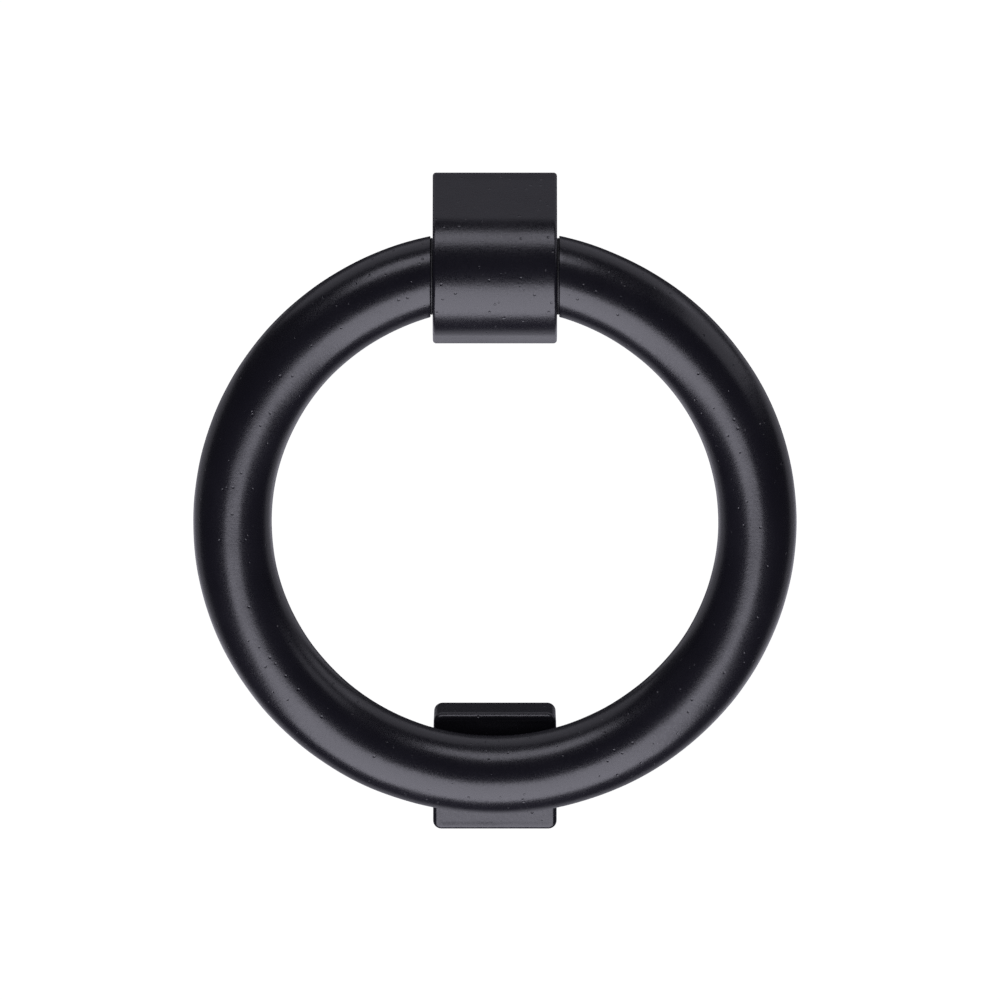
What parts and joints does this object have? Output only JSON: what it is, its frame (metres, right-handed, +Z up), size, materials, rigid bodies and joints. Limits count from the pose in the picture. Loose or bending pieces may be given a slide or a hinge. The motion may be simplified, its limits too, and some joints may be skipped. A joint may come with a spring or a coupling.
{
  "type": "door knocker",
  "caption": "Ring door knocker: a round-bar ring swings on a tapered boss with a rounded nose and knocks on a separate square strike plate.",
  "frame": {"origin": "on the door's outer face, level with the ring's pivot, midway across the bracket", "axes": "+Y into the door, +Z up, +X to the right of a visitor who faces the door; the visitor stands at -Y"},
  "size_m": [0.107, 0.0513, 0.1201],
  "materials": {
    "black_lacquer": "satin",
    "steel": "satin",
    "nylon": "satin"
  },
  "bodies": {
    "door_fixings": {"bracket": "black_lacquer", "strike_plate": "black_lacquer", "bush_left": "nylon", "bush_right": "nylon", "bracket_fixing_stud": "steel", "bracket_locating_pin": "steel", "bracket_grub_screw": "steel", "strike_fixing_stud": "steel", "strike_locating_pin": "steel", "strike_grub_screw": "steel"},
    "knocker_ring": {"ring": "black_lacquer", "spindle": "steel"}
  },
  "joints": [
    {"name": "ring_swing", "type": "hinge", "parent": "door_fixings", "child": "knocker_ring", "pos_m": [0, -0.0114, 0], "axis": [-1, 0, 0], "range_deg": [0, 180]}
  ]
}
